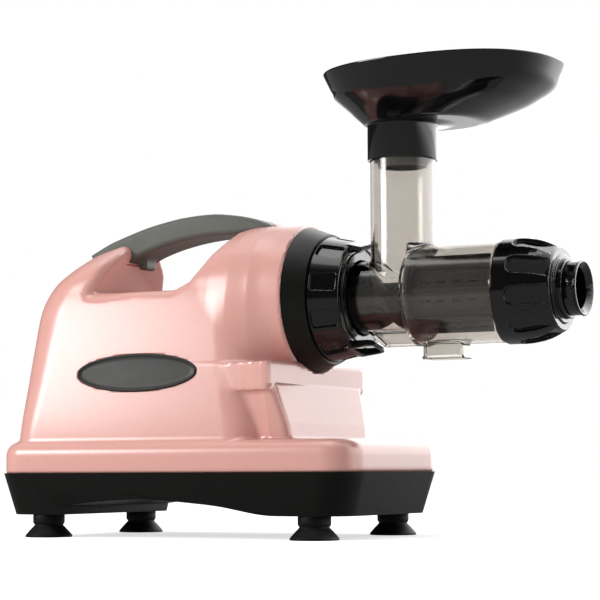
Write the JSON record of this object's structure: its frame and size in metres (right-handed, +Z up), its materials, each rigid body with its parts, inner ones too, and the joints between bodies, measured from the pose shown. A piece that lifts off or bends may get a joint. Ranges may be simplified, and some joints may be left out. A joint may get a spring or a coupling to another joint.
{
  "type": "cold press juicer",
  "caption": "Horizontal auger cold press juicer with a food tray on a feed chute, a bayonet drum, a fluted end cap and an arched carrying handle over its motor housing.",
  "frame": {"origin": "middle of the overall bounding box at the height of the standing surface", "axes": "+X along the juicing drum towards the pulp outlet, +Z up, -Y towards the side that carries the oval plate"},
  "size_m": [0.4492, 0.1678, 0.3413],
  "materials": {
    "auger_charcoal": "moulded",
    "insert_grey": "moulded",
    "fan_plastic": "moulded",
    "drum_smoke": "smoky translucent moulding",
    "gear_nylon": "moulded nylon",
    "screw_steel": "zinc-plated",
    "collar_black": "satin moulding",
    "case_aluminium": "die cast",
    "handle_charcoal": "satin moulding",
    "tray_black": "polished",
    "ring_black": "polished",
    "base_black": "fine-grained moulding",
    "bracket_steel": "zinc-plated sheet",
    "bell_aluminium": "die cast",
    "bushing_bronze": "sintered bronze",
    "core_steel": "laminated",
    "plate_black": "polished",
    "shaft_steel": "ground",
    "capacitor_can": "drawn can",
    "screen_amber": "moulded",
    "screen_steel": "stainless sheet",
    "seal_rubber": "nitrile",
    "winding_copper": "enamelled copper wire",
    "foot_rubber": "soft rubber",
    "switch_black": "satin",
    "rocker_red": "polished",
    "terminal_white": "moulded",
    "shell_pink": "satin moulded shell"
  },
  "bodies": {
    "chassis": {"bracket_screws": "screw_steel", "capacitor_clamp": "bracket_steel", "collar_screws": "screw_steel", "cord_gland": "switch_black", "drum": "drum_smoke", "feed_chute": "drum_smoke", "foot_screws": "screw_steel", "front_collar": "collar_black", "gear_bearing_plate": "case_aluminium", "gear_case": "case_aluminium", "gear_case_cover": "case_aluminium", "gear_case_screws": "screw_steel", "handle_grip": "handle_charcoal", "handle_screws": "screw_steel", "housing_screws": "screw_steel", "idler_pin": "shaft_steel", "lower_base": "base_black", "motor_bracket": "bracket_steel", "motor_front_bell": "bell_aluminium", "motor_front_bushing": "bushing_bronze", "motor_rear_bell": "bell_aluminium", "motor_rear_bushing": "bushing_bronze", "motor_stator_core": "core_steel", "motor_through_bolts": "screw_steel", "name_plate": "plate_black", "output_bearing_front": "bushing_bronze", "output_bearing_rear": "bushing_bronze", "run_capacitor": "capacitor_can", "screen_frame": "screen_amber", "screen_mesh": "screen_steel", "shaft_seal": "seal_rubber", "stator_windings": "winding_copper", "suction_foot_front_left": "foot_rubber", "suction_foot_front_right": "foot_rubber", "suction_foot_rear_left": "foot_rubber", "suction_foot_rear_right": "foot_rubber", "switch_frame": "switch_black", "terminal_block": "terminal_white", "upper_housing": "shell_pink"},
    "motor_rotor": {"rotor_core": "core_steel", "rotor_shaft": "shaft_steel", "cooling_fan": "fan_plastic", "motor_pinion": "shaft_steel"},
    "idler_gears": {"first_gear": "gear_nylon", "second_pinion": "shaft_steel"},
    "auger_drive": {"output_gear": "shaft_steel", "output_shaft": "shaft_steel", "auger": "auger_charcoal", "auger_insert": "insert_grey"},
    "ring": {"locking_ring": "ring_black"},
    "cap": {"end_cap": "ring_black"},
    "outlet": {"outlet_nozzle": "ring_black"},
    "hopper": {"hopper_tray": "tray_black"},
    "rocker": {"switch_rocker": "rocker_red"}
  },
  "joints": [
    {"name": "rotor_spin", "type": "hinge", "parent": "chassis", "child": "motor_rotor", "pos_m": [0, 0, 0.128], "axis": [1, 0, 0], "continuous": true},
    {"name": "idler_spin", "type": "hinge", "parent": "chassis", "child": "idler_gears", "pos_m": [0, 0.02654, 0.14761], "axis": [1, 0, 0], "continuous": true},
    {"name": "auger_spin", "type": "hinge", "parent": "chassis", "child": "auger_drive", "pos_m": [0, 0, 0.1767], "axis": [1, 0, 0], "continuous": true},
    {"name": "ring_twist", "type": "hinge", "parent": "chassis", "child": "ring", "pos_m": [0, 0, 0.1767], "axis": [1, 0, 0], "range_deg": [-45, 0]},
    {"name": "cap_twist", "type": "hinge", "parent": "chassis", "child": "cap", "pos_m": [0, 0, 0.1767], "axis": [1, 0, 0], "range_deg": [-40, 0]},
    {"name": "outlet_twist", "type": "hinge", "parent": "cap", "child": "outlet", "pos_m": [0, 0, 0.1767], "axis": [1, 0, 0], "range_deg": [0, 120]},
    {"name": "hopper_lift", "type": "slide", "parent": "chassis", "child": "hopper", "axis": [0, 0, 1], "range_m": [0, 0.06]},
    {"name": "rocker_tilt", "type": "hinge", "parent": "chassis", "child": "rocker", "pos_m": [-0.20895, 0, 0.112], "axis": [0, 1, 0], "range_deg": [-12, 12]}
  ],
  "couplings": [
    {"joint": "idler_spin", "follows": "rotor_spin", "ratio": -0.22222},
    {"joint": "auger_spin", "follows": "rotor_spin", "ratio": 0.047009}
  ]
}
